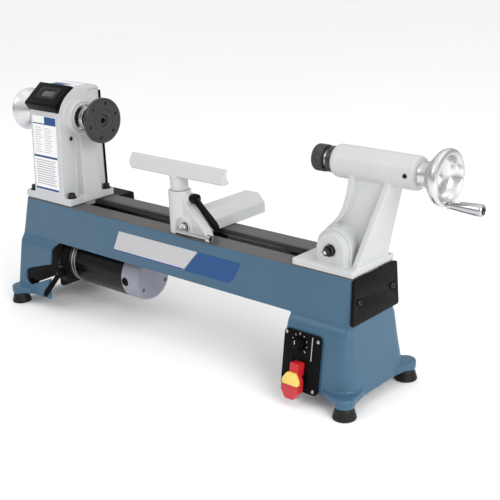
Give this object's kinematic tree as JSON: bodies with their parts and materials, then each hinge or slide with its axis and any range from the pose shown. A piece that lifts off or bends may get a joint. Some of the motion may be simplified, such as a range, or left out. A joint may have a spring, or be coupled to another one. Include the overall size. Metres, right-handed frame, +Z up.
{
  "type": "wood lathe",
  "caption": "Bench wood lathe: belt-driven headstock, bed on rubber feet, sliding banjo with tool rest, and screw-fed tailstock.",
  "frame": {"origin": "bottom centre of the whole lathe's bounding box, on the bench the feet stand on", "axes": "+X along the bed towards the tailstock, +Y away from the operator, +Z up"},
  "size_m": [0.965, 0.2315, 0.4172],
  "materials": {
    "casting_paint": "pale grey enamel over cast iron, semi-gloss",
    "bed_paint": "blue-grey enamel over cast iron, ways ground and dark",
    "black_plastic": "moulded black, lightly textured",
    "black_metal": "black enamel and black oxide, satin",
    "rubber": "matt black",
    "steel": "turned and ground",
    "aluminium": "polished cast aluminium",
    "motor_grey": "grey enamel, satin",
    "lens": "grey display lens",
    "red_plastic": "red moulded",
    "yellow_plastic": "yellow moulded"
  },
  "bodies": {
    "bed": {"bed_casting": "bed_paint", "foot_front_left": "rubber", "foot_front_right": "rubber", "foot_rear_left": "rubber", "foot_rear_right": "rubber", "right_end_cover": "black_plastic", "end_cover_screw_front": "black_metal", "end_cover_screw_rear": "black_metal", "switch_panel": "black_plastic", "switch_body": "black_plastic", "controller_box": "black_plastic", "headstock_casting": "casting_paint", "headstock_bolt_1": "black_metal", "headstock_bolt_2": "black_metal", "headstock_bolt_3": "black_metal", "headstock_bolt_4": "black_metal", "front_bearing": "steel", "rear_bearing": "steel", "display_housing": "black_plastic", "display_window": "lens", "door_hinge_pin": "steel", "motor_pivot_rod": "steel", "drive_belt": "rubber"},
    "spindle": {"spindle": "steel", "faceplate": "black_metal", "spindle_handwheel": "aluminium", "spindle_pulley": "aluminium"},
    "motor": {"motor_bracket": "black_metal", "motor_front_bell": "aluminium", "motor_can": "black_metal", "motor_end_cap": "motor_grey", "brush_cap": "black_plastic"},
    "rotor": {"motor_rotor": "steel", "motor_pulley": "aluminium"},
    "tension_lever": {"tension_lever": "black_plastic"},
    "belt_door": {"belt_door": "black_plastic"},
    "banjo_clamp": {"banjo_clamp_plate": "steel"},
    "banjo_bolt": {"banjo_clamp_bolt": "steel"},
    "banjo": {"banjo": "casting_paint"},
    "banjo_handle": {"banjo_clamp_shaft": "steel", "banjo_clamp_handle": "steel"},
    "rest_stem": {"tool_rest_stem": "steel"},
    "tool_rest": {"tool_rest": "casting_paint"},
    "rest_lock_lever": {"rest_lock_lever": "black_plastic"},
    "tailstock": {"tailstock_casting": "casting_paint", "tailstock_clamp_plate": "steel", "tailstock_clamp_bolt": "steel", "barrel_set_screw": "black_metal"},
    "tailstock_clamp": {"tailstock_clamp_shaft": "black_metal", "tailstock_clamp_lever": "black_metal"},
    "quill": {"quill": "steel"},
    "live_centre": {"live_centre": "black_metal"},
    "tailstock_wheel": {"tailstock_handwheel": "aluminium", "tailstock_lead_screw": "steel", "crank_pin": "steel"},
    "crank_handle": {"crank_handle": "steel"},
    "quill_lock_lever": {"quill_lock_lever": "black_plastic"},
    "speed_knob": {"speed_knob": "black_plastic"},
    "paddle": {"switch_paddle": "red_plastic"},
    "safety_key": {"safety_key": "yellow_plastic"}
  },
  "joints": [
    {"name": "spindle_spin", "type": "hinge", "parent": "bed", "child": "spindle", "pos_m": [-0.2678, -0.01022, 0.36], "axis": [1, 0, 0], "continuous": true},
    {"name": "motor_tilt", "type": "hinge", "parent": "bed", "child": "motor", "pos_m": [-0.369, 0.03378, 0.116], "axis": [1, 0, 0], "range_deg": [-5, 0], "deforming": ["drive_belt"]},
    {"name": "rotor_spin", "type": "hinge", "parent": "motor", "child": "rotor", "pos_m": [-0.393, -0.00522, 0.085], "axis": [1, 0, 0], "continuous": true},
    {"name": "tension_lever_turn", "type": "hinge", "parent": "motor", "child": "tension_lever", "pos_m": [-0.35, -0.07072, 0.076], "axis": [0, 1, 0], "range_deg": [-30, 60]},
    {"name": "belt_door_swing", "type": "hinge", "parent": "bed", "child": "belt_door", "pos_m": [-0.4245, 0.04678, 0.31], "axis": [0, 0, 1], "range_deg": [0, 110]},
    {"name": "banjo_slide", "type": "slide", "parent": "bed", "child": "banjo_clamp", "axis": [1, 0, 0], "range_m": [-0.08, 0.12]},
    {"name": "banjo_swivel", "type": "hinge", "parent": "banjo_clamp", "child": "banjo_bolt", "pos_m": [-0.0335, -0.01022, 0.205], "axis": [0, 0, 1], "range_deg": [-20, 20]},
    {"name": "banjo_reach", "type": "slide", "parent": "banjo_bolt", "child": "banjo", "axis": [0, 1, 0], "range_m": [-0.045, 0.006]},
    {"name": "banjo_clamp_turn", "type": "hinge", "parent": "banjo", "child": "banjo_handle", "pos_m": [-0.0335, -0.06222, 0.219], "axis": [0, 1, 0], "range_deg": [-95, 0]},
    {"name": "rest_lift", "type": "slide", "parent": "banjo", "child": "rest_stem", "axis": [0, 0, 1], "range_m": [0, 0.035]},
    {"name": "rest_swivel", "type": "hinge", "parent": "rest_stem", "child": "tool_rest", "pos_m": [-0.0525, -0.04322, 0.277], "axis": [0, 0, 1], "range_deg": [-90, 90]},
    {"name": "rest_lock_turn", "type": "hinge", "parent": "banjo", "child": "rest_lock_lever", "pos_m": [-0.0225, -0.04322, 0.266], "axis": [1, 0, 0], "range_deg": [0, 60]},
    {"name": "tailstock_slide", "type": "slide", "parent": "bed", "child": "tailstock", "axis": [1, 0, 0], "range_m": [-0.11, 0]},
    {"name": "tailstock_clamp_turn", "type": "hinge", "parent": "tailstock", "child": "tailstock_clamp", "pos_m": [0.2625, 0.03778, 0.238], "axis": [0, 1, 0], "range_deg": [-15, 60]},
    {"name": "quill_feed", "type": "slide", "parent": "tailstock", "child": "quill", "axis": [-1, 0, 0], "range_m": [0, 0.05]},
    {"name": "live_centre_spin", "type": "hinge", "parent": "quill", "child": "live_centre", "pos_m": [0.221, -0.01022, 0.36], "axis": [1, 0, 0], "continuous": true},
    {"name": "tailstock_wheel_turn", "type": "hinge", "parent": "tailstock", "child": "tailstock_wheel", "pos_m": [0.3865, -0.01022, 0.36], "axis": [1, 0, 0], "range_deg": [0, 7200]},
    {"name": "crank_handle_spin", "type": "hinge", "parent": "tailstock_wheel", "child": "crank_handle", "pos_m": [0.4302, -0.01422, 0.325], "axis": [1, 0, 0], "continuous": true},
    {"name": "quill_lock_turn", "type": "hinge", "parent": "tailstock", "child": "quill_lock_lever", "pos_m": [0.266, 0.02478, 0.36], "axis": [0, 1, 0], "range_deg": [-60, 60]},
    {"name": "speed_knob_turn", "type": "hinge", "parent": "bed", "child": "speed_knob", "pos_m": [0.226, -0.08338, 0.09216], "axis": [0, -0.9878, 0.1556], "range_deg": [-135, 135]},
    {"name": "paddle_press", "type": "hinge", "parent": "bed", "child": "paddle", "pos_m": [0.229, -0.08595, 0.06169], "axis": [1, 0, 0], "range_deg": [0, 4]},
    {"name": "safety_key_pull", "type": "slide", "parent": "paddle", "child": "safety_key", "axis": [0, -0.9878, 0.1556], "range_m": [0, 0.025]}
  ],
  "couplings": [
    {"joint": "rotor_spin", "follows": "spindle_spin", "ratio": 2},
    {"joint": "tailstock_wheel_turn", "follows": "quill_feed", "rad_per_m": 2513.3}
  ]
}
